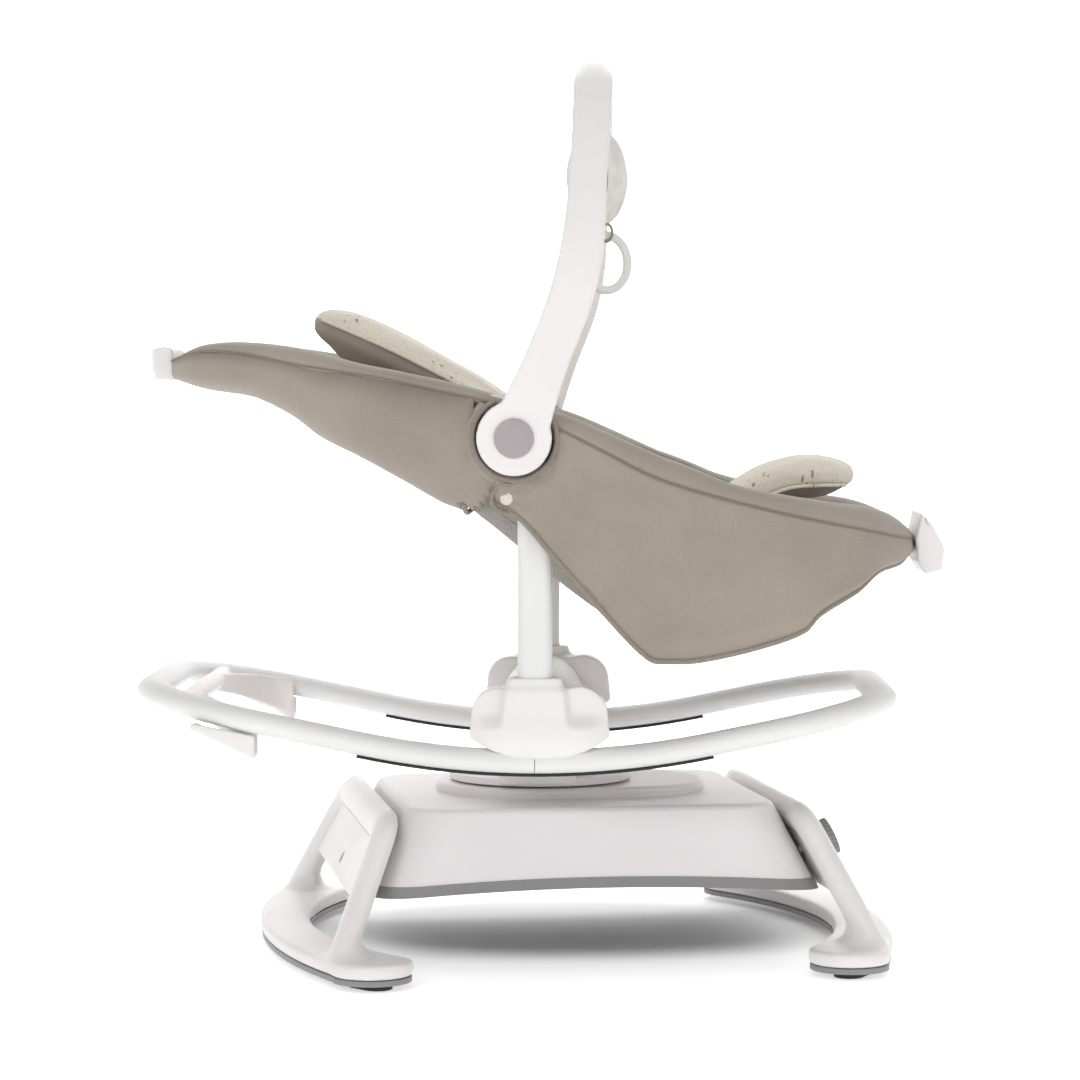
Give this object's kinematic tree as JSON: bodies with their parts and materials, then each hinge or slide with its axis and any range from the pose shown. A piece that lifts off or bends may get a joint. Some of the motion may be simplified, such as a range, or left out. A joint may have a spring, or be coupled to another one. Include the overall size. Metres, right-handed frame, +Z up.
{
  "type": "baby swing",
  "caption": "Infant glider swing: rocker seat with newborn insert and toy arch docked on a turntable that glides over a low motor base on splayed legs.",
  "frame": {"origin": "on the floor, at the middle of the object's outline", "axes": "+Z up; +X towards the foot end of the seat; +Y across the seat, to its left as the child faces the foot end"},
  "size_m": [0.7278, 0.6014, 0.8065],
  "materials": {
    "white_plastic": "satin moulded",
    "base_white": "gloss moulded",
    "frame_white": "powder coat",
    "grey_trim": "satin moulded",
    "dark_plastic": "moulded",
    "hub_grey": "satin",
    "black_rubber": "moulded rubber",
    "taupe_fabric": "brushed woven",
    "mesh_fabric": "open mesh",
    "cream_fabric": "melange with sprig print",
    "webbing": "woven strap",
    "plush_fabric": "short pile",
    "ring_plastic": "soft moulded",
    "snap_plastic": "moulded",
    "steel": "bright",
    "gear_plastic": "natural acetal",
    "bronze": "sintered",
    "circuit_board": "printed board",
    "battery_case": "wrapped cell"
  },
  "bodies": {
    "base": {"base_shell": "base_white", "foot_pads": "black_rubber", "sole_trims": "grey_trim", "leg_frame_head": "white_plastic", "leg_frame_foot": "white_plastic", "trim_band": "grey_trim", "base_tray": "dark_plastic", "battery_cells": "battery_case", "end_panel_head": "white_plastic", "end_panel_foot": "white_plastic", "dc_inlet": "dark_plastic", "control_board": "circuit_board", "glide_rods": "steel", "drive_motor": "steel", "housing_screws": "steel"},
    "battery_door": {"battery_door": "dark_plastic"},
    "speed_dial": {"speed_dial": "grey_trim"},
    "power_button": {"power_button": "grey_trim"},
    "drive_wheel": {"drive_wheel": "gear_plastic"},
    "motor_pinion": {"motor_pinion": "gear_plastic"},
    "carriage": {"carriage_block": "dark_plastic", "carriage_bushes": "bronze", "gear_rack": "gear_plastic", "pivot_post": "steel", "pivot_washer": "steel"},
    "turntable": {"turntable": "white_plastic"},
    "lock_lever": {"lock_lever": "grey_trim"},
    "rocker": {"rail_loop_head": "frame_white", "rail_loop_foot": "frame_white", "tread_strips": "black_rubber", "saddle_near": "white_plastic", "saddle_far": "white_plastic", "beam_tray": "white_plastic", "beam_cover": "white_plastic", "post_near": "frame_white", "post_far": "frame_white", "hub_pins": "steel", "kickstand_rod": "steel"},
    "kickstand": {"kickstand": "white_plastic"},
    "seat": {"seat_tube_head": "steel", "seat_tube_foot": "steel", "seat_hubs": "white_plastic", "cover_head": "taupe_fabric", "cover_foot": "taupe_fabric", "snap_buttons": "snap_plastic", "rim_cushion": "taupe_fabric", "seat_sling": "mesh_fabric", "body_insert": "cream_fabric", "recline_housing": "white_plastic", "vibration_housing": "white_plastic", "vibration_motor": "steel", "harness_straps": "webbing", "harness_buckle": "dark_plastic"},
    "recline_lever": {"recline_lever": "white_plastic"},
    "vibration_button": {"vibration_button": "hub_grey"},
    "buckle_button": {"buckle_button": "hub_grey"},
    "toy_arch": {"toy_arch": "white_plastic", "hub_caps": "hub_grey"},
    "plush_toy": {"plush_toy": "plush_fabric"},
    "toy_ring": {"toy_ring": "ring_plastic"}
  },
  "joints": [
    {"name": "glide", "type": "slide", "parent": "base", "child": "carriage", "axis": [0.9848, 0.1736, 0], "range_m": [0, 0.056]},
    {"name": "wheel_spin", "type": "hinge", "parent": "base", "child": "drive_wheel", "pos_m": [0.0069, 0.09454, 0.1], "axis": [0, 0, 1], "range_deg": [0, 268]},
    {"name": "motor_spin", "type": "hinge", "parent": "base", "child": "motor_pinion", "pos_m": [0.03101, 0.12327, 0.09], "axis": [0, 0, 1], "range_deg": [-1072, 0]},
    {"name": "battery_door_hinge", "type": "hinge", "parent": "base", "child": "battery_door", "pos_m": [-0.01336, -0.00651, 0.0582], "axis": [-0.1736, 0.9848, 0], "range_deg": [0, 45]},
    {"name": "dial_turn", "type": "hinge", "parent": "base", "child": "speed_dial", "pos_m": [0.24446, -0.08798, 0.101], "axis": [0.8981, 0.1584, 0.4104], "range_deg": [0, 270]},
    {"name": "power_press", "type": "slide", "parent": "base", "child": "power_button", "axis": [-0.8981, -0.1584, -0.4104], "range_m": [0, 0.002], "stiffness_N_per_m": 400, "springref_m": -0.001},
    {"name": "seat_swivel", "type": "hinge", "parent": "carriage", "child": "turntable", "pos_m": [-0.004, -0.00486, 0.154], "axis": [0, 0, 1], "range_deg": [-80, 100]},
    {"name": "lock_turn", "type": "hinge", "parent": "turntable", "child": "lock_lever", "pos_m": [-0.004, -0.00486, 0.172], "axis": [0, 0, 1], "range_deg": [0, 45]},
    {"name": "rocker_lift", "type": "slide", "parent": "turntable", "child": "rocker", "axis": [0, 0, 1], "range_m": [0, 0.12]},
    {"name": "kickstand_fold", "type": "hinge", "parent": "rocker", "child": "kickstand", "pos_m": [-0.314, -0.00486, 0.23281], "axis": [0, 1, 0], "range_deg": [0, 27]},
    {"name": "recline", "type": "hinge", "parent": "rocker", "child": "seat", "pos_m": [-0.021, -0.00486, 0.466], "axis": [0, 1, 0], "range_deg": [0, 14]},
    {"name": "recline_squeeze", "type": "slide", "parent": "seat", "child": "recline_lever", "axis": [1, 0, 0], "range_m": [0, 0.004], "stiffness_N_per_m": 500, "springref_m": -0.002},
    {"name": "vibration_press", "type": "slide", "parent": "seat", "child": "vibration_button", "axis": [-1, 0, 0], "range_m": [0, 0.0015], "stiffness_N_per_m": 500, "springref_m": -0.001},
    {"name": "buckle_press", "type": "slide", "parent": "seat", "child": "buckle_button", "axis": [-0.829, 0, -0.5592], "range_m": [0, 0.002], "stiffness_N_per_m": 500, "springref_m": -0.001},
    {"name": "arch_tilt", "type": "hinge", "parent": "seat", "child": "toy_arch", "pos_m": [-0.021, -0.00486, 0.466], "axis": [0, 1, 0], "range_deg": [-45, 30]},
    {"name": "toy_swing", "type": "hinge", "parent": "toy_arch", "child": "plush_toy", "pos_m": [0.048, -0.00486, 0.7905], "axis": [0, 1, 0], "range_deg": [-40, 40]},
    {"name": "ring_swing", "type": "hinge", "parent": "plush_toy", "child": "toy_ring", "pos_m": [0.057, -0.00486, 0.649], "axis": [-0.6428, 0.766, 0], "range_deg": [-15, 15]}
  ],
  "couplings": [
    {"joint": "wheel_spin", "follows": "glide", "rad_per_m": 83.333},
    {"joint": "motor_spin", "follows": "glide", "rad_per_m": -333.33}
  ]
}
